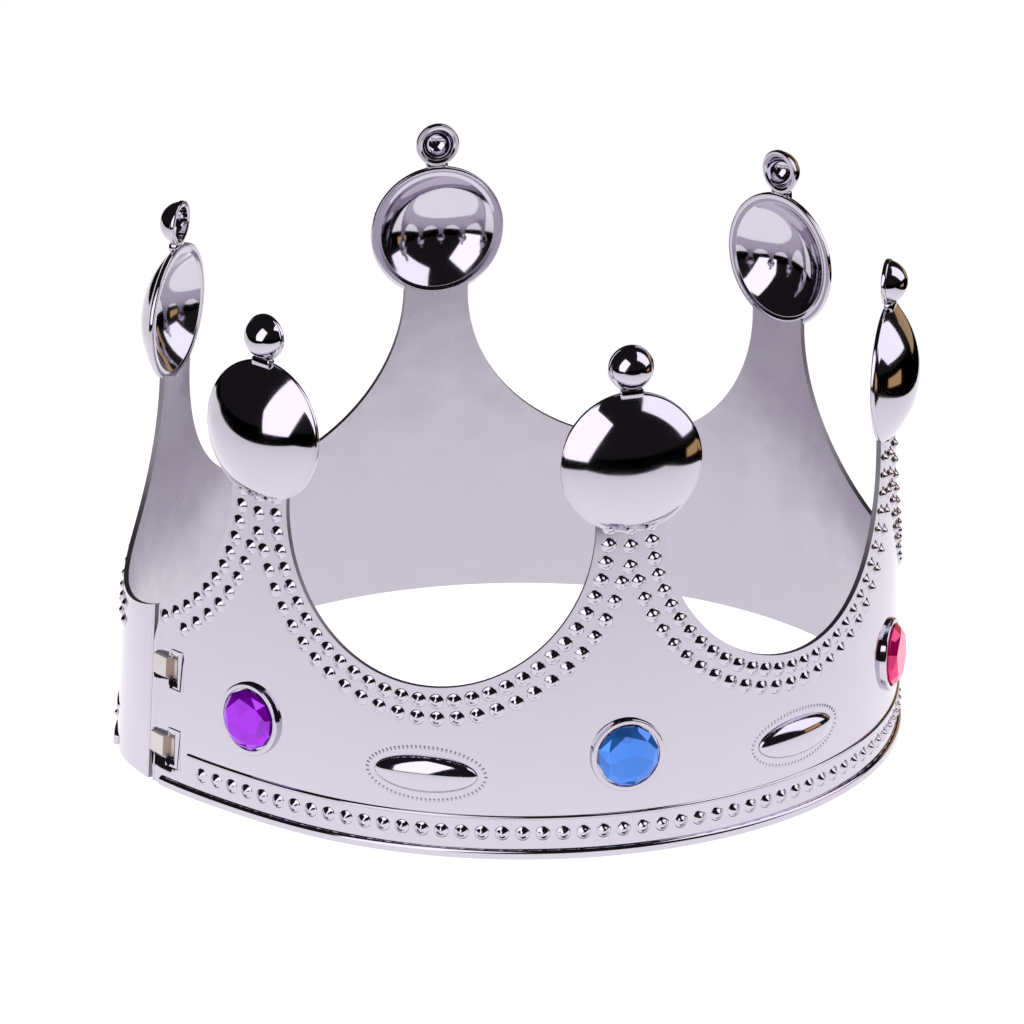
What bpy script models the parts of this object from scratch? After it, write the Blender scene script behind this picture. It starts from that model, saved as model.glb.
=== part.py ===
"""Silver plastic dressing-up crown: one moulded band sprung into a ring, with six domed points, a cut stone
stuck in the seat under each point, and a closure of two spring tongues that latch in two windows.

Metres, +Z up. The crown stands on z = 0, with the origin at the middle of its footprint and its closure
at -X.
A place on the band is given by its angle round the ring, its height, and its depth out from the outer face.
"""

from math import asin, cos, exp, pi, radians, sin, sqrt

import bmesh
import bpy
from mathutils import Matrix, Vector

# The ring
RING_RADIUS = 0.092
CROWN_HEIGHT = 0.1248
WALL = 0.0012
GAP = 0.0003
TAPER = 0.0336
SIDE_LEAN = 0.0211
CLOSURE_BULGE = 0.0086
CLOSURE_BULGE_ANGLE = radians(20.1)

# The six points, each with a hollow dome and a small hollow finial on a neck
POINT_COUNT = 6
POINT_PITCH = 2 * pi / POINT_COUNT
STEM_WIDTH = 0.0170
STEM_STRAIGHT = 0.0005
DOME_RADIUS = 0.0171
DOME_RISE = 0.0068
DOME_FLANGE = 0.0023
FINIAL_RADIUS = 0.0055
FINIAL_RISE = 0.0042
FINIAL_FLANGE = 0.0013
NECK_WIDTH = 0.0054
NECK_THICKNESS = 0.0022
NECK_INSET = 0.0001
HEAD_PROUD = 0.00015

# The base: a rim, and a thin raised line above the space for the base beads
RIM_HEIGHT = 0.0019
RIM_PROUD = 0.0010
LINE_HEIGHT = 0.0101
LINE_WIDTH = 0.0010
LINE_PROUD = 0.0005

# Cut stones in raised seats, and oval bosses between them, hollow from behind
STONE_HEIGHT = 0.0248
STONE_RADIUS = 0.0074
STONE_TABLE_RADIUS = 0.0042
STONE_GIRDLE = 0.0007
STONE_RISE = 0.0016
STONE_SIDES = 16
FOIL_THICKNESS = 0.0002
FOIL_MARGIN = 0.0001
GLUE_THICKNESS = 0.0003
GLUE_MARGIN = 0.0009
SEAT_LIP = 0.0005
SEAT_WALL = 0.0010
SEAT_ROOT = 0.0007
BOSS_HEIGHT = 0.0200
BOSS_HALF_LENGTH = 0.0127
BOSS_HALF_HEIGHT = 0.0046
BOSS_RISE = 0.0028
BOSS_SINK = 0.0004
BOSS_ROOT = 0.0003

# The closure: where the two ends of the band meet, and the tongues that latch them
SEAM_ANGLE = radians(189.4)
SEAM_GAP = 0.0004
RIM_START = radians(-167.4)
LINE_START = radians(-162.1)
RELIEF_END = radians(180.5)
WINDOW_INSET = 0.0010
WINDOW_LENGTH = 0.0090
WINDOW_OPENING = 0.0054
WINDOW_HEIGHTS = {"upper": 0.0302, "lower": 0.0103}
LUG_LENGTH = 0.0052
LUG_PROUD = 0.0008
TONGUE_THICKNESS = 0.0010
TONGUE_MARGIN = 0.0012
TONGUE_BEHIND_SEAM = 0.0140
TONGUE_PAST_LUG = 0.0010
SHOULDER_LENGTH = 0.0060
PAD_PROUD = 0.0005
PAD_MARGIN = 0.0022

# How finely the shapes are divided
STEM_STEPS = 4
ARCH_STEPS = 20
BLOCK_STEPS = 4
TONGUE_STEPS = 8
ROUND_STEPS = 24
DOME_RINGS = 4
FINIAL_STEPS = 14
FINIAL_RINGS = 3
BOSS_STEPS = 20
BOSS_RINGS = 8
EDGE_STEP = radians(0.2)
SMOOTH_ANGLE = radians(35)
FACET_ANGLE = radians(5)
NEXT_TO = 1e-6

# Worked out from the sizes above
FINIAL_STEP = DOME_RADIUS + FINIAL_RADIUS + GAP
DOME_HEIGHT = CROWN_HEIGHT - FINIAL_RADIUS - FINIAL_STEP
HALF_PITCH_LENGTH = RING_RADIUS * POINT_PITCH / 2
ARCH_RADIUS = HALF_PITCH_LENGTH - STEM_WIDTH / 2
ARCH_HEIGHT = DOME_HEIGHT - sqrt(DOME_RADIUS**2 - (STEM_WIDTH / 2) ** 2) - STEM_STRAIGHT
SEAT_INNER_RADIUS = STONE_RADIUS + GAP
SEAT_OUTER_RADIUS = SEAT_INNER_RADIUS + SEAT_WALL
SEAT_FLOOR = -WALL / 2
GLUE_DEPTH = SEAT_FLOOR + GAP
FOIL_DEPTH = GLUE_DEPTH + GLUE_THICKNESS + GAP
STONE_DEPTH = FOIL_DEPTH + FOIL_THICKNESS + GAP
SEAT_DEPTH = STONE_DEPTH + STONE_GIRDLE / 2
TONGUE_OUTER = -WALL - GAP
TONGUE_INNER = TONGUE_OUTER - TONGUE_THICKNESS
RING_CENTRE_X = (CLOSURE_BULGE - BOSS_RISE) / 2
CLOSURE_RADIUS = RING_RADIUS + CLOSURE_BULGE
BAND_START = SEAM_ANGLE - 2 * pi
BAND_END = SEAM_ANGLE - SEAM_GAP / CLOSURE_RADIUS
TONGUE_ROOT = BAND_START - TONGUE_BEHIND_SEAM / CLOSURE_RADIUS

POINT_NAMES = ("front_left", "front_centre", "front_right", "rear_right", "rear_centre", "rear_left")
STONE_COLOURS = {
    "violet": (0.30, 0.01, 0.75, 1.0),
    "blue": (0.02, 0.18, 0.85, 1.0),
    "pink": (0.85, 0.02, 0.20, 1.0),
}


def clear_scene():
    for item in list(bpy.data.objects):
        bpy.data.objects.remove(item)


def material(name, colour, metallic, roughness, transmission=0.0):
    made = bpy.data.materials.new(name)
    made.use_nodes = True
    shader = made.node_tree.nodes["Principled BSDF"]
    shader.inputs["Base Color"].default_value = colour
    shader.inputs["Metallic"].default_value = metallic
    shader.inputs["Roughness"].default_value = roughness
    shader.inputs["Transmission Weight"].default_value = transmission
    return made


def place(angle, height, depth):
    """The world position of a place on the band."""
    turn = abs(angle % (2 * pi) - pi)
    bulge = CLOSURE_BULGE * exp(-((turn / CLOSURE_BULGE_ANGLE) ** 2))
    radius = RING_RADIUS + bulge - TAPER * height + depth
    across = radius * cos(angle) + SIDE_LEAN * height + RING_CENTRE_X
    return Vector((across, radius * sin(angle), height))


def frame_at(angle, height):
    """A frame on the band's outer face: local X runs round the ring, Y up the wall and Z straight out."""
    step = 1e-4
    along = (place(angle + step, height, 0) - place(angle - step, height, 0)).normalized()
    up = (place(angle, height + step, 0) - place(angle, height - step, 0)).normalized()
    out = along.cross(up).normalized()
    up = out.cross(along)
    turned = Matrix((along, up, out)).transposed().to_4x4()
    return Matrix.Translation(place(angle, height, 0)) @ turned


def bend(work):
    """Moves a flat shape, whose points are (angle, height, depth), onto the ring."""
    for vert in work.verts:
        vert.co = place(*vert.co)


def mesh_from(work, name, sharp_angle=SMOOTH_ANGLE):
    """A mesh of flat triangles, facing out, and shaded smooth up to an angle."""
    bmesh.ops.triangulate(work, faces=work.faces)
    bmesh.ops.recalc_face_normals(work, faces=work.faces)
    if work.calc_volume(signed=True) < 0:
        bmesh.ops.reverse_faces(work, faces=work.faces)
    mesh = bpy.data.meshes.new(name)
    work.to_mesh(mesh)
    work.free()
    mesh.shade_smooth()
    mesh.set_sharp_from_angle(angle=sharp_angle)
    return mesh


def add_object(name, mesh, finish, frame=None):
    made = bpy.data.objects.new(name, mesh)
    if not mesh.materials:
        mesh.materials.append(finish)
    if frame is not None:
        made.matrix_world = frame
    bpy.context.scene.collection.objects.link(made)
    return made


def add_tool(name, mesh, collection, frame=None):
    """A solid that a Boolean joins to the band or cuts from it, so it isn't a piece itself."""
    made = bpy.data.objects.new(name, mesh)
    if frame is not None:
        made.matrix_world = frame
    made.hide_render = True
    made.display_type = "WIRE"
    collection.objects.link(made)
    return made


def flat_block(angles, heights, depths):
    """A closed block in (angle, height, depth), with a row of edges at each angle and each height."""
    work = bmesh.new()
    bmesh.ops.create_grid(work, x_segments=len(angles) - 1, y_segments=len(heights) - 1, size=0.5)
    for vert in work.verts:
        column = round((vert.co.x + 0.5) * (len(angles) - 1))
        row = round((vert.co.y + 0.5) * (len(heights) - 1))
        vert.co = (angles[column], heights[row], depths[1])
    thickened = bmesh.ops.extrude_face_region(work, geom=work.faces[:])
    for item in thickened["geom"]:
        if isinstance(item, bmesh.types.BMVert):
            item.co.z = depths[0]
    return work


def turned_mesh(name, profile, steps, sharp_angle=SMOOTH_ANGLE):
    """A solid of revolution about local Z, from (radius, depth) points that start and end on the axis."""
    work = bmesh.new()
    points = [work.verts.new((radius, 0, depth)) for radius, depth in profile]
    edges = [work.edges.new(pair) for pair in zip(points, points[1:])]
    bmesh.ops.spin(
        work,
        geom=points + edges,
        axis=(0, 0, 1),
        cent=(0, 0, 0),
        angle=2 * pi,
        steps=steps,
        use_merge=True,
    )
    bmesh.ops.remove_doubles(work, verts=work.verts, dist=NEXT_TO)
    return mesh_from(work, name, sharp_angle)


def cap_arc(radius, rise, base, count):
    """Points of a shallow spherical cap, from its top at base + rise out to its rim."""
    ball = (radius**2 + rise**2) / (2 * rise)
    spread = asin(radius / ball)
    turns = [spread * index / count for index in range(count + 1)]
    return [(ball * sin(turn), base + rise - ball + ball * cos(turn)) for turn in turns]


def dome_mesh(name, radius, rise, flange, rings, steps):
    """A hollow dome: a shallow cap in front, and behind it a flat flange round a dish."""
    front = cap_arc(radius, rise, 0, rings)
    back = cap_arc(radius - flange, rise, -WALL, rings)
    back.reverse()
    return turned_mesh(name, front + [(radius, -WALL)] + back, steps)


def arch_top(along):
    """The height of the arch's edge at a distance along the band from the arch's middle."""
    return ARCH_HEIGHT - sqrt(ARCH_RADIUS**2 - along**2)


def stem_top(along):
    """The stem runs up to the middle of the dome's flange, clear of the dish."""
    reach = DOME_RADIUS - DOME_FLANGE / 2
    return DOME_HEIGHT - sqrt(reach**2 - along**2)


def band_columns():
    """(angle, top height) of each upright row of edges in the band, from one end of it to the other."""
    columns = []
    for point in range(-1, POINT_COUNT + 1):
        middle = (point + 0.5 - POINT_COUNT / 2) * POINT_PITCH
        for index in range(STEM_STEPS + 1):
            along = STEM_WIDTH * (index / STEM_STEPS - 0.5)
            columns.append((middle + along / RING_RADIUS, stem_top(along)))
        valley = middle + POINT_PITCH / 2
        for index in range(1, ARCH_STEPS):
            along = ARCH_RADIUS * sin(pi * (index / ARCH_STEPS - 0.5))
            columns.append((valley + along / RING_RADIUS, arch_top(along)))
    cuts = [BAND_START, BAND_END, RIM_START - EDGE_STEP, RIM_START]
    cuts += [LINE_START - EDGE_STEP, LINE_START, RELIEF_END, RELIEF_END + EDGE_STEP]
    kept = []
    for angle, top in columns:
        clear = min(abs(angle - cut) for cut in cuts) > 4 * EDGE_STEP
        if clear and BAND_START < angle < BAND_END:
            kept.append((angle, top))
    for cut in cuts:
        along = (cut % (2 * pi) - pi) * RING_RADIUS
        kept.append((cut, arch_top(along)))
    return sorted(kept)


def band_mesh():
    """The strip with its arched top edge, base rim and raised line, bent into the ring."""
    columns = band_columns()
    rows = (
        (0.0, RIM_PROUD, RIM_START),
        (RIM_HEIGHT, RIM_PROUD, RIM_START),
        (RIM_HEIGHT + RIM_PROUD / 2, 0.0, RIM_START),
        (LINE_HEIGHT - LINE_WIDTH / 2, 0.0, LINE_START),
        (LINE_HEIGHT, LINE_PROUD, LINE_START),
        (LINE_HEIGHT + LINE_WIDTH / 2, 0.0, LINE_START),
        (None, 0.0, LINE_START),
    )
    work = flat_block(range(len(columns)), range(len(rows)), (-WALL, 0.0))
    for vert in work.verts:
        angle, top = columns[round(vert.co.x)]
        height, proud, proud_from = rows[round(vert.co.y)]
        if vert.co.z == 0 and proud_from - NEXT_TO <= angle <= RELIEF_END + NEXT_TO:
            vert.co.z = proud
        vert.co.x = angle
        vert.co.y = top if height is None else height
    bend(work)
    return mesh_from(work, "band")


def boss_mesh(name, angle, inset, surface):
    """An oval domed outwards, with a flat root sunk a little below one face of the band."""
    work = bmesh.new()
    bmesh.ops.create_uvsphere(work, u_segments=BOSS_STEPS, v_segments=BOSS_RINGS, radius=1.0)
    rise = BOSS_RISE + BOSS_SINK
    for vert in work.verts:
        across = (BOSS_HALF_LENGTH - inset) * vert.co.x
        up = (BOSS_HALF_HEIGHT - inset) * vert.co.y
        out = -BOSS_ROOT if vert.co.z < -NEXT_TO else rise * vert.co.z
        vert.co = (angle + across / RING_RADIUS, BOSS_HEIGHT + up, surface - BOSS_SINK + out)
    bend(work)
    return mesh_from(work, name)


def seat_mesh(name):
    """The raised ground of a seat, which its pocket is then cut from."""
    middle = SEAT_INNER_RADIUS + SEAT_WALL / 2
    profile = [
        (0, SEAT_DEPTH),
        (middle, SEAT_DEPTH),
        (SEAT_OUTER_RADIUS, SEAT_DEPTH - SEAT_LIP),
        (SEAT_OUTER_RADIUS, -SEAT_ROOT),
        (0, -SEAT_ROOT),
    ]
    return turned_mesh(name, profile, ROUND_STEPS)


def disc_mesh(name, radius, back, front):
    profile = [(0, front), (radius, front), (radius, back), (0, back)]
    return turned_mesh(name, profile, ROUND_STEPS)


def stone_mesh(name):
    girdle = STONE_DEPTH + STONE_GIRDLE
    profile = [
        (0, girdle + STONE_RISE),
        (STONE_TABLE_RADIUS, girdle + STONE_RISE),
        (STONE_RADIUS, girdle),
        (STONE_RADIUS, STONE_DEPTH),
        (0, STONE_DEPTH),
    ]
    return turned_mesh(name, profile, STONE_SIDES, FACET_ANGLE)


def neck_mesh(name):
    """The neck between a dome and its finial, in the dome's frame."""
    bottom = DOME_RADIUS - DOME_FLANGE / 2
    top = DOME_RADIUS + GAP + FINIAL_FLANGE / 2
    work = bmesh.new()
    bmesh.ops.create_cube(work, size=1.0)
    bmesh.ops.scale(work, vec=(NECK_WIDTH, top - bottom, NECK_THICKNESS), verts=work.verts)
    middle = (0, (top + bottom) / 2, NECK_THICKNESS / 2 - WALL + NECK_INSET)
    bmesh.ops.translate(work, vec=middle, verts=work.verts)
    return mesh_from(work, name)


def wall_block(name, start, end, heights, depths):
    """A block that follows the wall between two angles, such as a window, a pad or a shoulder."""
    angles = [start + (end - start) * index / BLOCK_STEPS for index in range(BLOCK_STEPS + 1)]
    work = flat_block(angles, heights, depths)
    bend(work)
    return mesh_from(work, name)


def tongue_mesh(name, middle):
    """A spring tongue behind the closure, with the lug that stands out through its window."""
    lug_start = BAND_START + (WINDOW_INSET + GAP) / CLOSURE_RADIUS
    lug_end = lug_start + LUG_LENGTH / CLOSURE_RADIUS
    tip = lug_end + TONGUE_PAST_LUG / CLOSURE_RADIUS
    reach = lug_start - TONGUE_ROOT
    angles = [TONGUE_ROOT + reach * index / TONGUE_STEPS for index in range(TONGUE_STEPS + 1)]
    angles += [(lug_start + lug_end) / 2, lug_end, tip]
    half_lug = WINDOW_OPENING / 2 - GAP
    half_tongue = WINDOW_OPENING / 2 + TONGUE_MARGIN
    heights = (middle - half_tongue, middle - half_lug, middle + half_lug, middle + half_tongue)
    work = flat_block(angles, heights, (TONGUE_INNER, TONGUE_OUTER))
    lug = []
    for face in work.faces:
        spot = face.calc_center_median()
        on_outside = spot.z > TONGUE_OUTER - NEXT_TO
        if on_outside and lug_start < spot.x < lug_end and abs(spot.y - middle) < half_lug:
            lug.append(face)
    raised = bmesh.ops.extrude_face_region(work, geom=lug)
    bmesh.ops.delete(work, geom=lug, context="FACES_ONLY")
    for item in raised["geom"]:
        if isinstance(item, bmesh.types.BMVert):
            item.co.z = LUG_PROUD
    bend(work)
    return mesh_from(work, name)


def build_band(silver):
    """The crown's body: one moulding, of the band with its points, seats, bosses, pads and shoulders."""
    band = add_object("crown_band", band_mesh(), silver)
    joined = bpy.data.collections.new("joined_to_band")
    cuts = bpy.data.collections.new("cut_from_band")
    for collection in (joined, cuts):
        bpy.context.scene.collection.children.link(collection)
    for index, place_name in enumerate(POINT_NAMES):
        angle = (index + 0.5 - POINT_COUNT / 2) * POINT_PITCH
        head = frame_at(angle, DOME_HEIGHT) @ Matrix.Translation((0, 0, HEAD_PROUD))
        above = head @ Matrix.Translation((0, FINIAL_STEP, 0))
        dome = dome_mesh("dome", DOME_RADIUS, DOME_RISE, DOME_FLANGE, DOME_RINGS, ROUND_STEPS)
        finial = dome_mesh("finial", FINIAL_RADIUS, FINIAL_RISE, FINIAL_FLANGE, FINIAL_RINGS, FINIAL_STEPS)
        add_tool("dome_" + place_name, dome, joined, head)
        add_tool("neck_" + place_name, neck_mesh("neck"), joined, head)
        add_tool("finial_" + place_name, finial, joined, above)
        seat = frame_at(angle, STONE_HEIGHT)
        add_tool("seat_" + place_name, seat_mesh("seat"), joined, seat)
        pocket = disc_mesh("pocket", SEAT_INNER_RADIUS, SEAT_FLOOR, SEAT_DEPTH + WALL)
        add_tool("pocket_" + place_name, pocket, cuts, seat)
    for index in range(1, POINT_COUNT):
        angle = (index - POINT_COUNT / 2) * POINT_PITCH
        add_tool("boss_" + str(index), boss_mesh("boss", angle, 0.0, 0.0), joined)
        add_tool("hollow_" + str(index), boss_mesh("hollow", angle, WALL, -WALL), cuts)
    half = WINDOW_OPENING / 2
    window_start = BAND_START + WINDOW_INSET / CLOSURE_RADIUS
    window_end = window_start + WINDOW_LENGTH / CLOSURE_RADIUS
    pad_start = BAND_START + WINDOW_INSET / 2 / CLOSURE_RADIUS
    pad_end = window_end + PAD_MARGIN / CLOSURE_RADIUS
    shoulder_end = TONGUE_ROOT - GAP / CLOSURE_RADIUS + 2 * pi
    shoulder_start = shoulder_end - SHOULDER_LENGTH / CLOSURE_RADIUS
    blocks = (
        ("window_", window_start, window_end, half, (-2 * WALL, 2 * WALL), cuts),
        ("pad_", pad_start, pad_end, half + PAD_MARGIN, (-WALL / 2, PAD_PROUD), joined),
        ("shoulder_", shoulder_start, shoulder_end, half + TONGUE_MARGIN, (TONGUE_INNER, -WALL / 2), joined),
    )
    for window, middle in WINDOW_HEIGHTS.items():
        for label, start, end, reach, depths, collection in blocks:
            heights = (middle - reach, middle + reach)
            add_tool(label + window, wall_block("block", start, end, heights, depths), collection)
    for operation, collection in (("UNION", joined), ("DIFFERENCE", cuts)):
        boolean = band.modifiers.new(collection.name, "BOOLEAN")
        boolean.operation = operation
        boolean.operand_type = "COLLECTION"
        boolean.collection = collection
        boolean.solver = "EXACT"
    return band


def build_stones():
    """The stone, its foil back and the spot of adhesive in each seat."""
    foil_finish = material("foil", (0.90, 0.90, 0.92, 1.0), 1.0, 0.15)
    glue_finish = material("adhesive", (0.86, 0.84, 0.78, 1.0), 0.0, 0.4)
    finishes = [material("stone_" + name, value, 0.0, 0.05, 0.9) for name, value in STONE_COLOURS.items()]
    foil_front = FOIL_DEPTH + FOIL_THICKNESS
    glue_front = GLUE_DEPTH + GLUE_THICKNESS
    for index, place_name in enumerate(POINT_NAMES):
        seat = frame_at((index + 0.5 - POINT_COUNT / 2) * POINT_PITCH, STONE_HEIGHT)
        stone_finish = finishes[index % len(finishes)]
        glue = disc_mesh("glue", STONE_RADIUS - GLUE_MARGIN, GLUE_DEPTH, glue_front)
        foil = disc_mesh("foil", STONE_RADIUS - FOIL_MARGIN, FOIL_DEPTH, foil_front)
        add_object("stone_" + place_name, stone_mesh("stone"), stone_finish, seat)
        add_object("foil_back_" + place_name, foil, foil_finish, seat)
        add_object("adhesive_" + place_name, glue, glue_finish, seat)


def build_tongues(silver):
    """The closure's tongues, each turning on an upright pivot at its root."""
    for window, middle in WINDOW_HEIGHTS.items():
        pivot = bpy.data.objects.new(window + "_tongue_pivot", None)
        pivot.location = place(TONGUE_ROOT, middle, (TONGUE_INNER + TONGUE_OUTER) / 2)
        bpy.context.scene.collection.objects.link(pivot)
        tongue = add_object(window + "_tongue", tongue_mesh("tongue", middle), silver)
        tongue.parent = pivot
        tongue.matrix_parent_inverse = Matrix.Translation(-pivot.location)


def main():
    clear_scene()
    silver = material("silver_plating", (0.78, 0.77, 0.80, 1.0), 1.0, 0.12)
    build_band(silver)
    build_stones()
    build_tongues(silver)


main()
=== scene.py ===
"""The finished look of a silver plastic dressing-up crown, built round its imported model.

The band is a strip that is shaped flat and then bent into the ring. A flat point is (angle round the ring,
height, depth out from the outer face), and place() gives its position in the model's frame, in metres.
"""
from math import asin, atan2, cos, exp, floor, pi, radians, sin, sqrt

import bmesh
import bpy
from mathutils import Matrix, Vector


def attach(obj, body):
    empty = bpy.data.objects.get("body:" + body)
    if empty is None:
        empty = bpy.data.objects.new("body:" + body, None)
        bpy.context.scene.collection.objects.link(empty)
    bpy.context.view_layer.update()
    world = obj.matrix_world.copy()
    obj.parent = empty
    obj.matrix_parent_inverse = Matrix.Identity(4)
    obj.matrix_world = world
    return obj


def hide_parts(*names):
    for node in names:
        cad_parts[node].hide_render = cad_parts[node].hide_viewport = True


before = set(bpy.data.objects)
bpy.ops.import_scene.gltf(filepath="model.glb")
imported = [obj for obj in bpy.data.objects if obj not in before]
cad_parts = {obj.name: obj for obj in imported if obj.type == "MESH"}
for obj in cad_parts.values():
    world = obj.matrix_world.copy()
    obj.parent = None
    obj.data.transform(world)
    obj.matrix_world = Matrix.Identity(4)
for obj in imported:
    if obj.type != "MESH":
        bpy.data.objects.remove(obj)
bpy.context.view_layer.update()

# The ring, as in the model
RING_RADIUS = 0.092
CROWN_HEIGHT = 0.1248
WALL = 0.0012
GAP = 0.0003
TAPER = 0.0336
SIDE_LEAN = 0.0211
CLOSURE_BULGE = 0.0086
CLOSURE_BULGE_ANGLE = radians(20.1)
POINT_COUNT = 6
POINT_PITCH = 2 * pi / POINT_COUNT
POINT_NAMES = ("front_left", "front_centre", "front_right", "rear_right", "rear_centre", "rear_left")

# The points
STEM_WIDTH = 0.0170
STEM_STRAIGHT = 0.0005
DOME_RADIUS = 0.0171
DOME_RISE = 0.0068
DOME_FLANGE = 0.0023
FINIAL_RADIUS = 0.0055
FINIAL_RISE = 0.0042
FINIAL_FLANGE = 0.0013
NECK_WIDTH = 0.0054
NECK_THICKNESS = 0.0022
NECK_BACK = WALL * 0.9
NECK_EDGE = 0.0004
CAP_EDGE = 0.0003
DISH_LIP = 0.0004

# The base
RIM_HEIGHT = 0.0019
RIM_PROUD = 0.0010
RIM_CHAMFER = 0.0003
LINE_HEIGHT = 0.0101
LINE_WIDTH = 0.0010
LINE_PROUD = 0.0005

# Stones, seats and bosses
STONE_HEIGHT = 0.0248
STONE_RADIUS = 0.0074
STONE_TABLE_RADIUS = 0.0056
STONE_CROWN_RADIUS = 0.0066
STONE_CROWN_SHARE = 0.58
STONE_GIRDLE = 0.0007
STONE_RISE = 0.0016
STONE_DEPTH = 0.0008
SEAT_WALL = 0.0012
SEAT_INNER_RADIUS = STONE_RADIUS + GAP
SEAT_OUTER_RADIUS = SEAT_INNER_RADIUS + SEAT_WALL
SEAT_EDGE = 0.0004
SEAT_INNER_EDGE = 0.0001
SEAT_SPREAD = 0.0002
SEAT_ROOT = WALL * 0.7
SEAT_DEPTH = STONE_DEPTH + STONE_GIRDLE / 2
SEAT_FLOOR = 0.0002
BOSS_HEIGHT = 0.0200
BOSS_HALF_LENGTH = 0.0127
BOSS_HALF_HEIGHT = 0.0046
BOSS_RISE = 0.0028

# The closure
SEAM_ANGLE = radians(189.4)
SEAM_GAP = 0.0001
SEAM_CORNER = 0.0018
SEAM_TOP_CORNER = 0.0085
SEAM_BASE_CORNER = 0.0055
LIP_WIDTH = 0.0022
LIP_PROUD = 0.00025
# The rows of edges across a lip, as shares of its width
LIP_SHARES = (0.0, 0.08, 0.25, 0.5, 0.75, 0.92, 1.0)
RIM_START = radians(-167.4)
LINE_START = radians(-162.1)
RELIEF_END = radians(176.0)
WINDOW_INSET = 0.0010
WINDOW_LENGTH = 0.0090
WINDOW_OPENING = 0.0054
WINDOW_HEIGHTS = {"upper": 0.0302, "lower": 0.0103}
PAD_PROUD = 0.0004
PAD_TOP_PROUD = PAD_PROUD / 10
PAD_MARGIN = 0.0022
PAD_EDGE = 0.0003
LUG_LENGTH = 0.0052
SHOULDER_LENGTH = 0.0060
SHOULDER_EDGE = 0.0003
TONGUE_BEHIND_SEAM = 0.0140
TONGUE_THICKNESS = 0.0010
TONGUE_MARGIN = 0.0012

# Moulded beads
BEAD_RADIUS = 0.0019
BEAD_RISE = 0.0010
BEAD_ROOT_SHARE = 0.3
BASE_BEAD_RADIUS = 0.0018
BASE_BEAD_HEIGHT = 0.0063
BASE_BEAD_START = radians(-159.3)
BASE_BEAD_PITCH = radians(2.997)
INNER_ROW_RADIUS = 0.0430
INNER_ROW_COUNT = 32
OUTER_ROW_WIDTH = 0.0482
OUTER_ROW_DROP = 0.0473
OUTER_ROW_COUNT = 26
OUTER_ROW_SPREAD = radians(73)
STEM_BEAD_HEIGHTS = (0.0710, 0.0760, 0.0806)
INNER_ROW_STOP = radians(191.5)
OUTER_ROW_STOP = radians(193.5)
ROWS_END = radians(180.0)
TICK_LENGTH = 0.00052
TICK_WIDTH = 0.00030
TICK_RISE = 0.00034
TICK_PITCH = 0.00107
TICK_MARGIN = 0.0019

# How finely the shapes are divided, and where their shading is sharp
ARCH_STEPS = 56
STEM_STEPS = 12
RIM_STEPS = 6
LINE_STEPS = 6
UPPER_ROWS = 18
RELIEF_STEP = radians(0.2)
DOME_STEPS = 72
DOME_RINGS = 16
FINIAL_STEPS = 40
FINIAL_RINGS = 10
SEAT_STEPS = 64
BOSS_STEPS = 64
BOSS_RINGS = 24
BEAD_STEPS = 14
BEAD_RINGS = 6
TICK_STEPS = 6
TICK_RINGS = 2
SMOOTH_ANGLE = radians(35)
BEAD_SMOOTH_ANGLE = radians(80)
FACET_ANGLE = radians(3)
EDGE_ANGLE = radians(50)

# Worked out from the sizes above
FINIAL_ABOVE = DOME_RADIUS + FINIAL_RADIUS + GAP
DOME_HEIGHT = CROWN_HEIGHT - FINIAL_RADIUS - FINIAL_ABOVE
HALF_PITCH_LENGTH = RING_RADIUS * POINT_PITCH / 2
ARCH_RADIUS = HALF_PITCH_LENGTH - STEM_WIDTH / 2
ARCH_HEIGHT = DOME_HEIGHT - sqrt(DOME_RADIUS**2 - (STEM_WIDTH / 2) ** 2) - STEM_STRAIGHT
RING_CENTRE_X = (CLOSURE_BULGE - BOSS_RISE) / 2
CLOSURE_RADIUS = RING_RADIUS + CLOSURE_BULGE
BAND_START = SEAM_ANGLE - 2 * pi
BAND_END = SEAM_ANGLE - SEAM_GAP / CLOSURE_RADIUS
TONGUE_ROOT = BAND_START - TONGUE_BEHIND_SEAM / CLOSURE_RADIUS

# The camera and the light
CAMERA_AZIMUTH = radians(-15.34)
CAMERA_ELEVATION = radians(20.45)
CAMERA_DISTANCE = 2.051
CAMERA_TARGET = Vector((RING_CENTRE_X, 0, 0.046))
CAMERA_SIDE_STEP = -0.00248
CAMERA_UP_STEP = 0.00640
CAMERA_LENS = 296.45
ROOM_COLOUR = (0.012, 0.011, 0.012, 1.0)
WHITE = (1.0, 1.0, 1.0, 1.0)
TABLE_HALF_SIZE = 6.0
TABLE_DROP = 0.0002
# In the plating, the table ends where across * x + away * y reaches a limit: (across, away, limit)
TABLE_EDGES = ((-1.0, -0.45, 0.42), (1.0, 0.0, 0.28), (0.0, -1.0, 0.36), (0.0, 1.0, 0.80))
# There it is also brighter near the crown: its glow falls off between two distances from the middle
TABLE_FALL = {"From Min": 0.12, "From Max": 0.36, "To Min": 1.20, "To Max": 0.94}
# Glowing panels round EYE: corners as (azimuth, elevation) in degrees, distance, colour
EYE = Vector((0.0, -0.09, 0.09))
PANELS = {
    "left_softbox": (((-160, -13), (-164, 16), (-147, 56), (-104, 38), (-134, -9)), 0.9, (1.7, 1.68, 1.75)),
    "right_softbox": (((-18, 5), (-55, 47), (25, 60), (15, 3)), 0.9, (1.5, 1.48, 1.55)),
    "wooden_shelf": (((4, -11.5), (-14, -11.5), (-14, -5), (4, -3)), 0.40, (0.60, 0.38, 0.16)),
    "wooden_door": (((70, -6), (28, -6), (28, 10), (70, 10)), 0.8, (0.50, 0.34, 0.18)),
}

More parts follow.
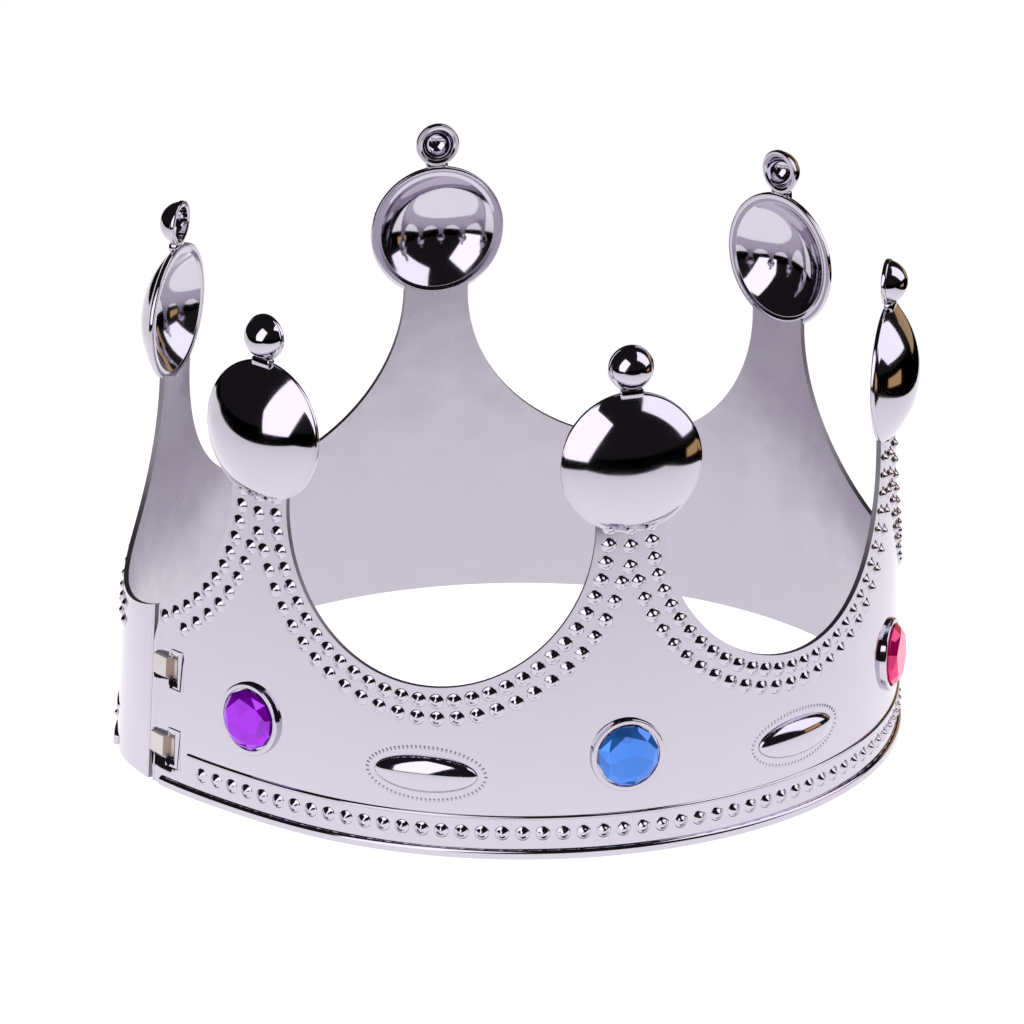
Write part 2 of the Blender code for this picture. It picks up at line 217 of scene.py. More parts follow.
# The stones' colours, in the order that they go round the ring
STONE_COLOURS = {
    "violet": (0.44, 0.005, 0.92),
    "blue": (0.06, 0.28, 1.0),
    "pink": (1.0, 0.005, 0.22),
}


# ---------------------------------------------------------------- shaping


def place(angle, height, depth):
    """The position of a place on the band."""
    turn = abs(angle % (2 * pi) - pi)
    bulge = CLOSURE_BULGE * exp(-((turn / CLOSURE_BULGE_ANGLE) ** 2))
    radius = RING_RADIUS + bulge - TAPER * height + depth
    across = radius * cos(angle) + SIDE_LEAN * height + RING_CENTRE_X
    return Vector((across, radius * sin(angle), height))


def frame_at(angle, height):
    """A frame on the band's outer face: local X runs round the ring, Y up the wall and Z straight out."""
    step = 1e-4
    along = (place(angle + step, height, 0) - place(angle - step, height, 0)).normalized()
    up = (place(angle, height + step, 0) - place(angle, height - step, 0)).normalized()
    out = along.cross(up).normalized()
    up = out.cross(along)
    axes = Matrix((along, up, out)).transposed().to_4x4()
    return Matrix.Translation(place(angle, height, 0)) @ axes


def bend(work):
    """Moves a flat shape, whose points are (angle, height, depth), onto the ring."""
    for vert in work.verts:
        vert.co = place(*vert.co)


def point_angle(index):
    return (index + 0.5 - POINT_COUNT / 2) * POINT_PITCH


def mesh_from(work, name, sharp_angle=SMOOTH_ANGLE):
    """A mesh with its faces pointing outwards, shaded smooth up to an angle."""
    bmesh.ops.recalc_face_normals(work, faces=work.faces)
    if work.calc_volume(signed=True) < 0:
        bmesh.ops.reverse_faces(work, faces=work.faces)
    mesh = bpy.data.meshes.new(name)
    work.to_mesh(mesh)
    work.free()
    mesh.shade_smooth()
    mesh.set_sharp_from_angle(angle=sharp_angle)
    return mesh


def add_piece(name, mesh, finishes, body="band", replaced=()):
    """Adds a finished piece to the scene and joins it to its body."""
    made = bpy.data.objects.new(name, mesh)
    for finish in finishes:
        mesh.materials.append(finish)
    bpy.context.scene.collection.objects.link(made)
    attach(made, body)
    if replaced:
        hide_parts(*replaced)
    return made


def add_helper(name, mesh):
    """A solid that a Boolean cuts away, which isn't shown."""
    made = bpy.data.objects.new(name, mesh)
    made.hide_render = True
    made.display_type = "WIRE"
    bpy.context.scene.collection.objects.link(made)
    return made


def flat_block(angles, heights, depths):
    """A closed block in (angle, height, depth), with a row of edges at each angle and each height."""
    work = bmesh.new()
    bmesh.ops.create_grid(work, x_segments=len(angles) - 1, y_segments=len(heights) - 1, size=0.5)
    for vert in work.verts:
        column = round((vert.co.x + 0.5) * (len(angles) - 1))
        row = round((vert.co.y + 0.5) * (len(heights) - 1))
        vert.co = (angles[column], heights[row], depths[1])
    thickened = bmesh.ops.extrude_face_region(work, geom=work.faces[:])
    for item in thickened["geom"]:
        if isinstance(item, bmesh.types.BMVert):
            item.co.z = depths[0]
    return work


def turned(profile, steps, turn=None):
    """A solid of revolution about local Z, from (radius, depth) points that start and end on the axis."""
    work = bmesh.new()
    points = [work.verts.new((radius, 0, depth)) for radius, depth in profile]
    edges = [work.edges.new(pair) for pair in zip(points, points[1:])]
    bmesh.ops.spin(
        work, geom=points + edges, axis=(0, 0, 1), cent=(0, 0, 0), angle=2 * pi, steps=steps, use_merge=True
    )
    bmesh.ops.remove_doubles(work, verts=work.verts, dist=1e-6)
    if turn is not None:
        bmesh.ops.transform(work, matrix=turn, verts=work.verts)
    return work


def arc(centre, radius, start, end, count):
    """Points of an arc in a turned profile, between two angles in degrees."""
    turns = [radians(start + (end - start) * index / count) for index in range(count + 1)]
    return [(centre[0] + radius * cos(turn), centre[1] + radius * sin(turn)) for turn in turns]


def cap_arc(radius, rise, base, count):
    """Points of a shallow spherical cap, from its top at base + rise out to its rim."""
    ball = (radius**2 + rise**2) / (2 * rise)
    spread = asin(radius / ball)
    turns = [spread * index / count for index in range(count + 1)]
    return [(ball * sin(turn), base + rise - ball + ball * cos(turn)) for turn in turns]


# ---------------------------------------------------------------- the band


def arch_top(along):
    return ARCH_HEIGHT - sqrt(max(ARCH_RADIUS**2 - along**2, 0))


def stem_top(along):
    reach = DOME_RADIUS - DOME_FLANGE / 2
    return DOME_HEIGHT - sqrt(reach**2 - along**2)


def band_columns():
    """(angle, top height) of each upright row of edges in the band, with more where a moulding starts."""
    columns = []
    for point in range(-1, POINT_COUNT + 1):
        middle = point_angle(point)
        for index in range(STEM_STEPS + 1):
            along = STEM_WIDTH * (index / STEM_STEPS - 0.5)
            columns.append((middle + along / RING_RADIUS, stem_top(along)))
        valley = middle + POINT_PITCH / 2
        for index in range(1, ARCH_STEPS):
            along = ARCH_RADIUS * sin(pi * (index / ARCH_STEPS - 0.5))
            columns.append((valley + along / RING_RADIUS, arch_top(along)))
    lip = LIP_WIDTH / CLOSURE_RADIUS
    cuts = [RIM_START - RELIEF_STEP, RIM_START, LINE_START - RELIEF_STEP, LINE_START]
    cuts += [RELIEF_END, RELIEF_END + RELIEF_STEP]
    for share in LIP_SHARES:
        cuts += [BAND_START + lip * share, BAND_END - lip * share]
    kept = []
    for angle, top in columns:
        clear = min(abs(angle - cut) for cut in cuts) > RELIEF_STEP
        if clear and BAND_START < angle < BAND_END:
            kept.append((angle, top))
    for cut in cuts:
        kept.append((cut, arch_top((cut % (2 * pi) - pi) * RING_RADIUS)))
    return sorted(kept)


def lip_depth(angle):
    """How far a low rounded lip along each end of the band stands out."""
    from_end = min(angle - BAND_START, BAND_END - angle) * CLOSURE_RADIUS / LIP_WIDTH
    return LIP_PROUD * sqrt(sin(pi * (1.0 - from_end))) if 0.0 < from_end < 1.0 else 0.0


def corner_cut(height, top):
    """How far, as an angle, the front end is cut back at its top and bottom corners, where the seam opens."""
    above = max(0.0, 1 - (top - height) / SEAM_TOP_CORNER)
    below = max(0.0, 1 - height / SEAM_BASE_CORNER)
    return SEAM_CORNER * max(min(1.0, 2 * above), min(1.0, 2 * below)) / CLOSURE_RADIUS


def half_round(bottom, top, proud, count):
    """Heights and depths of a half-round moulding between two heights."""
    middle = (bottom + top) / 2
    half = (top - bottom) / 2
    turns = [pi * index / count for index in range(count + 1)]
    return [(middle - half * cos(turn), proud * sin(turn)) for turn in turns]


def wall_mesh(name):
    """The strip with its arched top edge, base rim and raised line, bent into the ring."""
    columns = band_columns()
    rim = [(0.0, RIM_PROUD - RIM_CHAMFER), (RIM_CHAMFER, RIM_PROUD)]
    rounding = RIM_HEIGHT - RIM_PROUD / 2
    for index in range(RIM_STEPS + 1):
        turn = pi / 2 * index / RIM_STEPS
        rim.append((rounding + RIM_PROUD * sin(turn), RIM_PROUD * cos(turn)))
    line = half_round(LINE_HEIGHT - LINE_WIDTH / 2, LINE_HEIGHT + LINE_WIDTH / 2, LINE_PROUD, LINE_STEPS)
    rows = [(height, proud, RIM_START) for height, proud in rim]
    rows += [(height, proud, LINE_START) for height, proud in line]
    first_top_row = len(rows)
    rows += [(None, 0.0, LINE_START)] * UPPER_ROWS
    work = flat_block(range(len(columns)), range(len(rows)), (-WALL, 0.0))
    for vert in work.verts:
        angle, top = columns[round(vert.co.x)]
        row = round(vert.co.y)
        height, proud, proud_from = rows[row]
        if vert.co.z == 0 and proud_from - 1e-6 <= angle <= RELIEF_END + 1e-6:
            vert.co.z = proud
        if height is None:
            below = rows[first_top_row - 1][0]
            height = below + (top - below) * (row - first_top_row + 1) / UPPER_ROWS
        if vert.co.z == 0:
            vert.co.z = lip_depth(angle)
        if angle < BAND_START + LIP_WIDTH / CLOSURE_RADIUS:
            angle += corner_cut(height, top) * (1 - (angle - BAND_START) * CLOSURE_RADIUS / LIP_WIDTH)
        vert.co.x = angle
        vert.co.y = height
    # Faces wholly inside take the second finish. The edge faces, which run from inside to outside, take the
    # third: a dark silver that is painted shade, as in the seam's gap.
    for face in work.faces:
        if all(vert.co.z < -WALL / 2 for vert in face.verts):
            face.material_index = 1
        elif any(vert.co.z < -WALL / 2 for vert in face.verts):
            face.material_index = 2
    bend(work)
    return mesh_from(work, name)


def wall_block(start, end, heights, depths, steps=6):
    """A flat block that follows the wall between two angles, before it is bent."""
    angles = [start + (end - start) * index / steps for index in range(steps + 1)]
    return flat_block(angles, heights, depths)


def soften(work, width, segments=2):
    """Rounds every sharp edge of a small block."""
    sharp = [edge for edge in work.edges if edge.calc_face_angle(0) > EDGE_ANGLE]
    bmesh.ops.bevel(
        work, geom=sharp, offset=width, segments=segments, profile=0.5, affect="EDGES", material=-1
    )


def cut_away(target, tool):
    """Cuts a hidden solid out of a piece."""
    cut = target.modifiers.new(tool.name, "BOOLEAN")
    cut.operation = "DIFFERENCE"
    cut.solver = "EXACT"
    cut.object = tool


def build_wall(finishes):
    """The band with its two windows, and a sloping pad round the open end of each window."""
    strip = wall_mesh("band_wall")
    wall = add_piece("band_wall", strip, finishes, replaced=("crown_band",))
    window_start = BAND_START + WINDOW_INSET / CLOSURE_RADIUS
    window_end = window_start + WINDOW_LENGTH / CLOSURE_RADIUS
    pad_start = window_start + (LUG_LENGTH + 2 * GAP) / CLOSURE_RADIUS
    pad_end = window_end + PAD_MARGIN / CLOSURE_RADIUS
    half = WINDOW_OPENING / 2
    for name, middle in WINDOW_HEIGHTS.items():
        cutter = wall_block(window_start, window_end, (middle - half, middle + half), (-3 * WALL, 3 * WALL))
        bend(cutter)
        tool = add_helper("window_" + name, mesh_from(cutter, "window"))
        reach = half + PAD_MARGIN
        block = wall_block(pad_start, pad_end, (middle - reach, middle + reach), (-WALL / 2, PAD_PROUD))
        for vert in block.verts:
            if vert.co.z > 0 and vert.co.y > middle:
                vert.co.z = PAD_TOP_PROUD
        bend(block)
        soften(block, PAD_EDGE)
        pad = add_piece("pad_" + name, mesh_from(block, "pad"), finishes[:1])
        for target in (wall, pad):
            cut_away(target, tool)


# ---------------------------------------------------------------- beads


def bead(radius, rise, width=None, steps=BEAD_STEPS, rings=BEAD_RINGS):
    """One bead that stands on local Z and runs out smoothly into the wall, with a short root under it."""
    shares = [index / rings for index in range(rings + 1)]
    profile = [(radius * share, rise * (1 + cos(pi * share)) / 2) for share in shares]
    root = -rise * BEAD_ROOT_SHARE
    work = turned(profile + [(radius, root), (0, root)], steps)
    if width is not None:
        bmesh.ops.scale(work, vec=(1.0, width / radius, 1.0), verts=work.verts)
    return mesh_from(work, "bead", BEAD_SMOOTH_ANGLE)


def bead_object(name, shape, spots, finishes):
    """A row of beads on the band. A spot is an angle, a height and a turn about the bead's own middle."""
    work = bmesh.new()
    for angle, height, spin in spots:
        count = len(work.verts)
        work.from_mesh(shape)
        work.verts.ensure_lookup_table()
        turn = frame_at(angle, height) @ Matrix.Rotation(spin, 4, "Z")
        bmesh.ops.transform(work, matrix=turn, verts=work.verts[count:])
    return add_piece(name, mesh_from(work, name, BEAD_SMOOTH_ANGLE), finishes)


def base_spots():
    count = floor((RELIEF_END - BASE_BEAD_START) / BASE_BEAD_PITCH) + 1
    return [(BASE_BEAD_START + BASE_BEAD_PITCH * index, BASE_BEAD_HEIGHT, 0.0) for index in range(count)]


def clear_of_closure(angle, restart):
    """True where the arch rows are moulded: they stop short of the band's two ends."""
    return not ROWS_END < angle % (2 * pi) < restart


def inner_row_spots():
    spots = []
    for valley in range(POINT_COUNT):
        middle = valley * POINT_PITCH
        for index in range(INNER_ROW_COUNT):
            turn = pi * (index / (INNER_ROW_COUNT - 1) - 0.5)
            angle = middle + INNER_ROW_RADIUS * sin(turn) / RING_RADIUS
            if clear_of_closure(angle, INNER_ROW_STOP):
                spots.append((angle, ARCH_HEIGHT - INNER_ROW_RADIUS * cos(turn), 0.0))
    return spots


def outer_row_spots():
    spots = []
    for valley in range(POINT_COUNT):
        middle = valley * POINT_PITCH
        for index in range(OUTER_ROW_COUNT):
            turn = OUTER_ROW_SPREAD * (2 * index / (OUTER_ROW_COUNT - 1) - 1)
            angle = middle + OUTER_ROW_WIDTH * sin(turn) / RING_RADIUS
            if clear_of_closure(angle, OUTER_ROW_STOP):
                spots.append((angle, ARCH_HEIGHT - OUTER_ROW_DROP * cos(turn), 0.0))
    for index in range(POINT_COUNT):
        spots += [(point_angle(index), height, 0.0) for height in STEM_BEAD_HEIGHTS]
    return spots


def tick_spots():
    """The milled ticks round each boss, evenly spaced along an oval and square to it."""
    spots = []
    for index in range(1, POINT_COUNT):
        middle = (index - POINT_COUNT / 2) * POINT_PITCH
        wide = BOSS_HALF_LENGTH + TICK_MARGIN
        high = BOSS_HALF_HEIGHT + TICK_MARGIN
        turn = 0.0
        while turn < 2 * pi - TICK_PITCH / wide:
            spin = atan2(wide * sin(turn), high * cos(turn))
            spots.append((middle + wide * cos(turn) / RING_RADIUS, BOSS_HEIGHT + high * sin(turn), spin))
            turn += TICK_PITCH / sqrt((wide * sin(turn)) ** 2 + (high * cos(turn)) ** 2)
    return spots


# ---------------------------------------------------------------- points, seats and bosses


def hollow_cap(radius, rise, flange, rings):
    """The profile of a hollow dome: a cap in front, a rounded rim, and a flange round a dish behind."""
    flat = radius - CAP_EDGE
    front = cap_arc(flat, rise, 0, rings)
    rim = arc((flat, -CAP_EDGE), CAP_EDGE, 90, 0, 3)[1:] + arc((flat, CAP_EDGE - WALL), CAP_EDGE, 0, -90, 3)
    inside = radius - flange
    half_lip = DISH_LIP / 2
    step = [(inside + DISH_LIP, -WALL), (inside, half_lip - WALL)]
    back = cap_arc(inside - half_lip, rise - half_lip, half_lip - WALL, rings)
    back.reverse()
    return front + rim + step + back


def build_points(finishes):
    """Each point's dome, the small finial above it and the neck between them."""
    for index, name in enumerate(POINT_NAMES):
        head = frame_at(point_angle(index), DOME_HEIGHT)
        above = head @ Matrix.Translation((0, FINIAL_ABOVE, 0))
        dome = turned(hollow_cap(DOME_RADIUS, DOME_RISE, DOME_FLANGE, DOME_RINGS), DOME_STEPS, head)
        small_cap = hollow_cap(FINIAL_RADIUS, FINIAL_RISE, FINIAL_FLANGE, FINIAL_RINGS)
        finial = turned(small_cap, FINIAL_STEPS, above)
        add_piece("dome_" + name, mesh_from(dome, "dome"), finishes)
        add_piece("finial_" + name, mesh_from(finial, "finial"), finishes)
        bottom = DOME_RADIUS - DOME_FLANGE / 2
        top = DOME_RADIUS + GAP + FINIAL_FLANGE / 2
        neck = bmesh.new()
        bmesh.ops.create_cube(neck, size=1.0)
        bmesh.ops.scale(neck, vec=(NECK_WIDTH, top - bottom, NECK_THICKNESS), verts=neck.verts)
        soften(neck, NECK_EDGE)
        middle = Matrix.Translation((0, (top + bottom) / 2, NECK_THICKNESS / 2 - NECK_BACK))
        bmesh.ops.transform(neck, matrix=head @ middle, verts=neck.verts)
        add_piece("neck_" + name, mesh_from(neck, "neck"), finishes)


def build_seats(finishes):
    """The raised seat round each stone: a flat-topped ring with a rounded outer edge."""
    inner_middle = (SEAT_INNER_RADIUS + SEAT_INNER_EDGE, SEAT_DEPTH - SEAT_INNER_EDGE)
    inner = arc(inner_middle, SEAT_INNER_EDGE, 180, 90, 3)
    outer = arc((SEAT_OUTER_RADIUS - SEAT_EDGE, SEAT_DEPTH - SEAT_EDGE), SEAT_EDGE, 90, 0, 6)
    profile = [(0, SEAT_FLOOR), (SEAT_INNER_RADIUS, SEAT_FLOOR)] + inner + outer
    profile += [(SEAT_OUTER_RADIUS + SEAT_SPREAD, -SEAT_ROOT), (0, -SEAT_ROOT)]
    for index, name in enumerate(POINT_NAMES):
        seat = turned(profile, SEAT_STEPS, frame_at(point_angle(index), STONE_HEIGHT))
        add_piece("seat_" + name, mesh_from(seat, "seat"), finishes)


def build_bosses(finishes):
    """The smooth oval bosses between the stones. There is none at the closure."""
    for index in range(1, POINT_COUNT):
        angle = (index - POINT_COUNT / 2) * POINT_PITCH
        work = bmesh.new()
        bmesh.ops.create_uvsphere(work, u_segments=BOSS_STEPS, v_segments=BOSS_RINGS, radius=1.0)
        for vert in work.verts:
            out = -WALL / 2 if vert.co.z < -1e-6 else BOSS_RISE * vert.co.z
            across = BOSS_HALF_LENGTH * vert.co.x / RING_RADIUS
            vert.co = (angle + across, BOSS_HEIGHT + BOSS_HALF_HEIGHT * vert.co.y, out)
        bend(work)
        add_piece("boss_" + str(index), mesh_from(work, "boss"), finishes)


def stone_mesh(turn):
    """A round flat-backed stone: a six-sided table, sloping facets down to the edge, and a plain girdle."""
    girdle = STONE_DEPTH + STONE_GIRDLE
    table = girdle + STONE_RISE
    work = bmesh.new()
    # Each ring: its number of corners, radius, depth, and first corner as a share of their pitch
    rings = (
        (6, STONE_TABLE_RADIUS, table, 0.7),
        (6, STONE_CROWN_RADIUS, girdle + STONE_RISE * STONE_CROWN_SHARE, 0.2),
        (12, STONE_RADIUS, girdle, 0.4),
        (12, STONE_RADIUS, STONE_DEPTH, 0.4),
    )
    for count, radius, depth, offset in rings:
        for index in range(count):
            spin = 2 * pi * (index + offset) / count
            work.verts.new((radius * cos(spin), radius * sin(spin), depth))
    bmesh.ops.convex_hull(work, input=work.verts[:])
    bmesh.ops.dissolve_limit(work, angle_limit=radians(1), verts=work.verts[:], edges=work.edges[:])
    bmesh.ops.transform(work, matrix=turn, verts=work.verts)
    return mesh_from(work, "stone", FACET_ANGLE)


def build_stones(finishes):
    for index, name in enumerate(POINT_NAMES):
        colour = list(STONE_COLOURS)[index % len(STONE_COLOURS)]
        turn = frame_at(point_angle(index), STONE_HEIGHT)
        add_piece(
            "cut_stone_" + name, stone_mesh(turn), [finishes[colour]],
            replaced=("stone_" + name,),
        )


def build_closure(finishes):
    """The shoulders that the tongues spring from."""
    for name, middle in WINDOW_HEIGHTS.items():
        shoulder_end = TONGUE_ROOT - GAP / CLOSURE_RADIUS + 2 * pi
        shoulder_start = shoulder_end - SHOULDER_LENGTH / CLOSURE_RADIUS
        reach = WINDOW_OPENING / 2 + TONGUE_MARGIN
        inner = -WALL - GAP - TONGUE_THICKNESS
        heights = (middle - reach, middle + reach)
        shoulder = wall_block(shoulder_start, shoulder_end, heights, (inner, -WALL / 2))
        bend(shoulder)
        soften(shoulder, SHOULDER_EDGE)
        add_piece("shoulder_" + name, mesh_from(shoulder, "shoulder"), finishes)


# ---------------------------------------------------------------- finishes


def new_material(name):
    made = bpy.data.materials.new(name)
    made.use_nodes = True
    return made, made.node_tree, made.node_tree.nodes["Principled BSDF"]


def feed(tree, socket, value):
    """Links a socket to another one, or gives it a plain value."""
    if isinstance(value, bpy.types.NodeSocket):
        tree.links.new(value, socket)
    else:
        socket.default_value = value


def sums(tree, operation, first, second):
    """One sum on two sockets or numbers."""
    made = tree.nodes.new("ShaderNodeMath")
    made.operation = operation
    feed(tree, made.inputs[0], first)
    feed(tree, made.inputs[1], second)
    return made.outputs[0]


def spread(tree, value, limits):
    """A value moved from one range to another, with the limits named as on the node."""
    made = tree.nodes.new("ShaderNodeMapRange")
    for label, limit in limits.items():
        made.inputs[label].default_value = limit
    feed(tree, made.inputs["Value"], value)
    return made.outputs["Result"]


def colour_between(tree, factor, first, second):
    """A colour between two others, which are colours or sockets."""
    made = tree.nodes.new("ShaderNodeMix")
    made.data_type = "RGBA"
    feed(tree, made.inputs["Factor"], factor)
    for label, colour in (("A", first), ("B", second)):
        feed(tree, made.inputs[label], colour)
    return made.outputs["Result"]


def shade(colour, share):
    """A darker shade of a colour, with its alpha."""
    return (*[part * share for part in colour], 1.0)


def moulding_group():
    """Faint waviness and handling haze of a thin plated moulding."""
    group = bpy.data.node_groups.new("plated_moulding", "ShaderNodeTree")
    for name in ("Wave Size", "Haze Size"):
        group.interface.new_socket(name, in_out="INPUT", socket_type="NodeSocketFloat")
    for name in ("Height", "Haze"):
        group.interface.new_socket(name, in_out="OUTPUT", socket_type="NodeSocketFloat")
    given = group.nodes.new("NodeGroupInput")
    result = group.nodes.new("NodeGroupOutput")
    coords = group.nodes.new("ShaderNodeTexCoord")
    for size, detail, output in (("Wave Size", 1.0, "Height"), ("Haze Size", 4.0, "Haze")):
        noise = group.nodes.new("ShaderNodeTexNoise")
        noise.inputs["Detail"].default_value = detail
        group.links.new(coords.outputs["Object"], noise.inputs["Vector"])
        group.links.new(given.outputs[size], noise.inputs["Scale"])
        group.links.new(noise.outputs["Fac"], result.inputs[output])
    return group


def moulded_effect(tree, group, wave_size, haze_size):
    """The moulding's unevenness, placed in a material with its own sizes."""
    effect = tree.nodes.new("ShaderNodeGroup")
    effect.node_tree = group
    effect.inputs["Wave Size"].default_value = wave_size
    effect.inputs["Haze Size"].default_value = haze_size
    return effect


def silver(name, group, colour, rough, rough_spread, wave_size, wave_depth, tone=0.04):
    """Bright plating over moulded plastic. Where there is haze it is rougher, and lighter by up to tone."""
    made, tree, shader = new_material(name)
    shader.inputs["Metallic"].default_value = 1.0
    effect = moulded_effect(tree, group, wave_size, 90.0)
    haze = effect.outputs["Haze"]
    limits = {"From Min": 0.35, "From Max": 0.70, "To Min": rough, "To Max": rough + rough_spread}
    bump = tree.nodes.new("ShaderNodeBump")
    bump.inputs["Strength"].default_value = 1.0
    bump.inputs["Distance"].default_value = wave_depth
    plating = colour_between(tree, haze, shade(colour, 1 - tone), shade(colour, 1))
    tree.links.new(plating, shader.inputs["Base Color"])
    tree.links.new(spread(tree, haze, limits), shader.inputs["Roughness"])
    tree.links.new(effect.outputs["Height"], bump.inputs["Height"])
    tree.links.new(bump.outputs["Normal"], shader.inputs["Normal"])
    return made


def bare_plastic(name, group, colour, painted_shade_colour):
    """Unplated moulded plastic, faintly uneven, with painted shade: the faces that point to the front are
    browner, as the shade inside the windows.
    """
    made, tree, shader = new_material(name)
    shader.inputs["Roughness"].default_value = 0.38
    effect = moulded_effect(tree, group, 150.0, 300.0)
    plastic = colour_between(tree, effect.outputs["Haze"], shade(colour, 0.85), shade(colour, 1))
    # Painted shade: faces that point to the front take the brown colour, standing in for the shade inside the
    # windows.
    shape = tree.nodes.new("ShaderNodeNewGeometry")
    split = tree.nodes.new("ShaderNodeSeparateXYZ")
    tree.links.new(shape.outputs["Normal"], split.inputs["Vector"])
    painted_shade_mask = sums(tree, "LESS_THAN", split.outputs["Y"], -0.7)
    plastic_with_painted_shade = colour_between(tree, painted_shade_mask, plastic, shade(painted_shade_colour, 1))
    tree.links.new(plastic_with_painted_shade, shader.inputs["Base Color"])
    return made


def stone_finish(name, colour, group):
    """Clear tinted resin over foil, with its bright reflection. The reflection of the foil's facets behind it
    is painted: a cell pattern lightens and darkens the tint.
    """
    made, tree, shader = new_material(name)
    shader.inputs["Metallic"].default_value = 0.50
    shader.inputs["Coat Weight"].default_value = 0.3
    shader.inputs["Coat Roughness"].default_value = 0.02
    shader.inputs["IOR"].default_value = 1.49
    effect = moulded_effect(tree, group, 200.0, 400.0)
    rough = spread(tree, effect.outputs["Haze"], {"To Min": 0.0, "To Max": 0.05})
    tree.links.new(rough, shader.inputs["Roughness"])
    # Painted reflection: cells of a Voronoi pattern lighten and darken the tint, standing in for facets
    # reflected through the table.
    coords = tree.nodes.new("ShaderNodeTexCoord")
    facets = tree.nodes.new("ShaderNodeTexVoronoi")
    facets.inputs["Scale"].default_value = 210.0
    split = tree.nodes.new("ShaderNodeSeparateColor")
    tree.links.new(coords.outputs["Object"], facets.inputs["Vector"])
    tree.links.new(facets.outputs["Color"], split.inputs["Color"])
    painted_reflection_brightness = spread(tree, split.outputs["Red"], {"To Min": 0.60, "To Max": 1.15})
    tint = colour_between(tree, painted_reflection_brightness, shade(colour, 0.25), shade(colour, 1))
    tree.links.new(tint, shader.inputs["Base Color"])
    return made


# ---------------------------------------------------------------- camera and light


def toward(azimuth, elevation):
    """The unit vector at an azimuth from +X and an elevation, both in radians."""
    return Vector((cos(azimuth) * cos(elevation), sin(azimuth) * cos(elevation), sin(elevation)))


def build_camera():
    data = bpy.data.cameras.new("camera")
    data.lens = CAMERA_LENS
    data.sensor_width = 36.0
    data.clip_start = 0.1
    data.clip_end = 20.0
    camera = bpy.data.objects.new("camera", data)
    back = toward(CAMERA_AZIMUTH - pi / 2, CAMERA_ELEVATION)
    right = toward(CAMERA_AZIMUTH, 0)
    up = back.cross(right)
    camera.location = CAMERA_TARGET + back * CAMERA_DISTANCE
    aim = CAMERA_TARGET + right * CAMERA_SIDE_STEP + up * CAMERA_UP_STEP
    camera.rotation_euler = (camera.location - aim).to_track_quat("Z", "Y").to_euler()
    bpy.context.scene.collection.objects.link(camera)
    bpy.context.scene.camera = camera


def add_stage(name, work, finish):
    """Adds a piece of the studio, which isn't part of the crown."""
    mesh = bpy.data.meshes.new(name)
    work.to_mesh(mesh)
    work.free()
    mesh.materials.append(finish)
    made = bpy.data.objects.new(name, mesh)
    bpy.context.scene.collection.objects.link(made)
    return made


def glowing_material(name):
    """A material that only glows, with its node tree and its emission node."""
    made, tree, shader = new_material(name)
    tree.nodes.remove(shader)
    glow = tree.nodes.new("ShaderNodeEmission")
    tree.links.new(glow.outputs[0], tree.nodes["Material Output"].inputs["Surface"])
    return made, tree, glow


def light_panel(name, corners, distance, colour):
    """A flat glowing panel that faces EYE and is seen only in reflections."""
    rays = [toward(radians(azimuth), radians(elevation)) for azimuth, elevation in corners]
    facing = sum(rays, Vector()).normalized()
    work = bmesh.new()
    work.faces.new([work.verts.new(EYE + ray * (distance / ray.dot(facing))) for ray in rays])
    finish, _, glow = glowing_material(name)
    glow.inputs["Color"].default_value = (*colour, 1.0)
    add_stage(name, work, finish).visible_camera = False


def table_material():
    """A white table: as bright as paper to the eye, and seen in the plating only as far as its edges."""
    made, tree, glow = glowing_material("white_table")
    coords = tree.nodes.new("ShaderNodeTexCoord")
    reach = tree.nodes.new("ShaderNodeVectorMath")
    reach.operation = "LENGTH"
    tree.links.new(coords.outputs["Object"], reach.inputs[0])
    lit = spread(tree, reach.outputs["Value"], TABLE_FALL)
    for across, away, limit in TABLE_EDGES:
        side = tree.nodes.new("ShaderNodeVectorMath")
        side.operation = "DOT_PRODUCT"
        side.inputs[1].default_value = (across, away, 0.0)
        tree.links.new(coords.outputs["Object"], side.inputs[0])
        lit = sums(tree, "MULTIPLY", lit, sums(tree, "LESS_THAN", side.outputs["Value"], limit))
    path = tree.nodes.new("ShaderNodeLightPath")
    glow.inputs["Color"].default_value = WHITE
    shown = sums(tree, "MAXIMUM", lit, path.outputs["Is Camera Ray"])
    tree.links.new(shown, glow.inputs["Strength"])
    return made


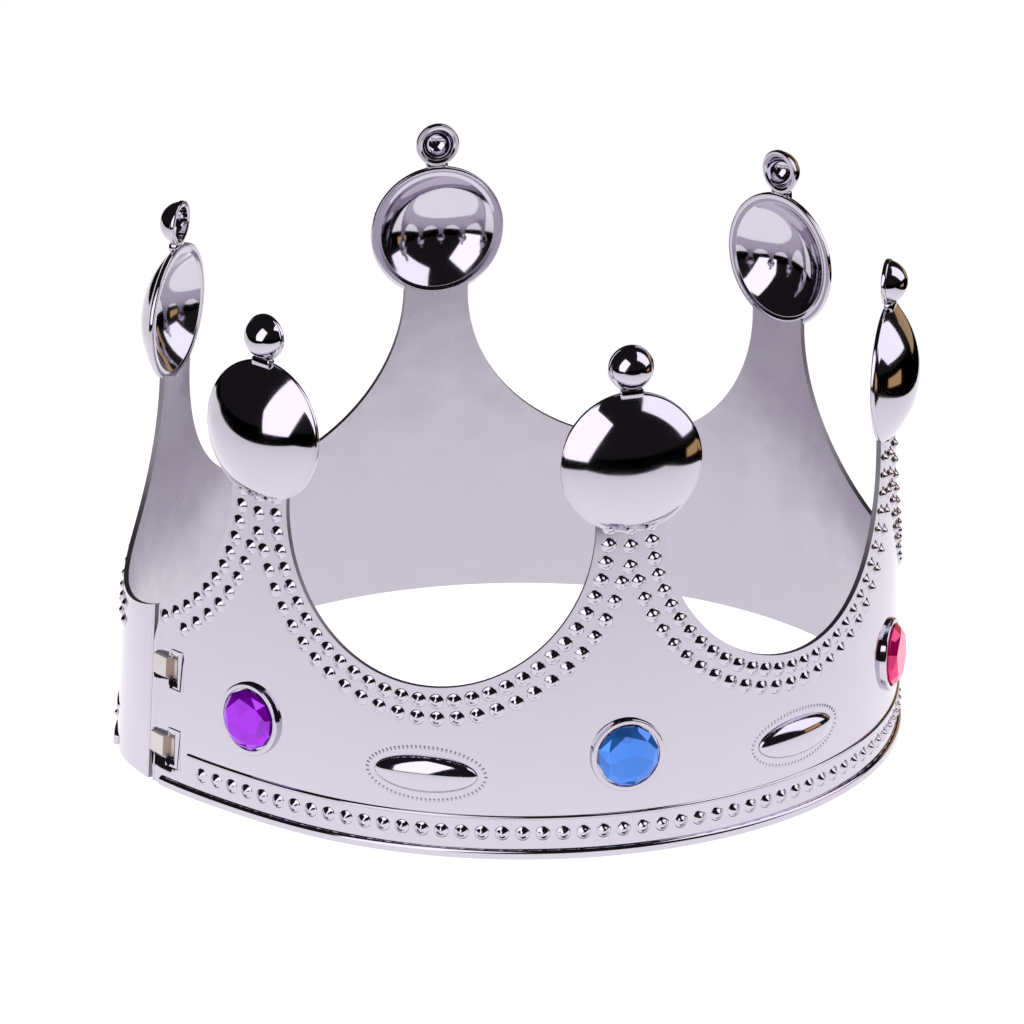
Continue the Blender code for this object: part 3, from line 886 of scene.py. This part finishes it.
def build_stage():
    """The table, a dark room that looks white behind the crown, and the panels."""
    work = bmesh.new()
    bmesh.ops.create_grid(work, x_segments=1, y_segments=1, size=TABLE_HALF_SIZE)
    bmesh.ops.translate(work, vec=(0, 0, -TABLE_DROP), verts=work.verts)
    add_stage("table", work, table_material())
    world = bpy.data.worlds.new("studio")
    bpy.context.scene.world = world
    world.use_nodes = True
    tree = world.node_tree
    path = tree.nodes.new("ShaderNodeLightPath")
    colour = colour_between(tree, path.outputs["Is Camera Ray"], ROOM_COLOUR, WHITE)
    tree.links.new(colour, tree.nodes["Background"].inputs["Color"])
    for name, (corners, distance, glow) in PANELS.items():
        light_panel(name, corners, distance, glow)
    bpy.context.scene.view_settings.view_transform = "Standard"


# ---------------------------------------------------------------- all together


def finish_carried_nodes(foil, adhesive, bare):
    """Gives every carried-over node a finish: foil, adhesive, or the tongues' bare plastic."""
    for name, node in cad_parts.items():
        finish = foil if name.startswith("foil") else adhesive if name.startswith("adhesive") else bare
        node.data.materials.clear()
        node.data.materials.append(finish)


def main():
    group = moulding_group()
    bright = silver(
        "bright_silver", group, (0.60, 0.56, 0.65), rough=0.06, rough_spread=0.05,
        wave_size=120.0, wave_depth=0.00002,
    )
    satin = silver(
        "satin_silver", group, (0.56, 0.52, 0.60), rough=0.22, rough_spread=0.14,
        wave_size=110.0, wave_depth=0.00012, tone=0.20,
    )
    # Painted shade: a dark silver for the band's edge faces, standing in for the shade in the seam's gap.
    edge = silver(
        "edge_painted_shade", group, (0.30, 0.28, 0.31), rough=0.45, rough_spread=0.10,
        wave_size=160.0, wave_depth=0.00002,
    )
    foil = silver(
        "foil", group, (0.90, 0.90, 0.92), rough=0.10, rough_spread=0.10,
        wave_size=300.0, wave_depth=0.00001,
    )
    adhesive = silver(
        "adhesive", group, (0.8, 0.8, 0.75), rough=0.3, rough_spread=0.1,
        wave_size=300.0, wave_depth=0.00001,
    )
    # The second colour is painted shade, for the tongues' faces that point to the front.
    bare = bare_plastic("bare_plastic", group, (0.95, 0.88, 0.86), (0.48, 0.36, 0.30))
    stones = {name: stone_finish(name + "_stone", colour, group) for name, colour in STONE_COLOURS.items()}
    build_camera()
    build_stage()
    build_wall([bright, satin, edge])
    tick = bead(TICK_LENGTH, TICK_RISE, TICK_WIDTH, TICK_STEPS, TICK_RINGS)
    bead_object("base_beads", bead(BASE_BEAD_RADIUS, BEAD_RISE), base_spots(), [bright])
    bead_object("inner_row_beads", bead(BEAD_RADIUS, BEAD_RISE), inner_row_spots(), [bright])
    bead_object("outer_row_beads", bead(BEAD_RADIUS, BEAD_RISE), outer_row_spots(), [bright])
    bead_object("milled_ticks", tick, tick_spots(), [bright])
    build_points([bright])
    build_seats([bright])
    build_bosses([bright])
    build_stones(stones)
    build_closure([satin])
    finish_carried_nodes(foil, adhesive, bare)


main()
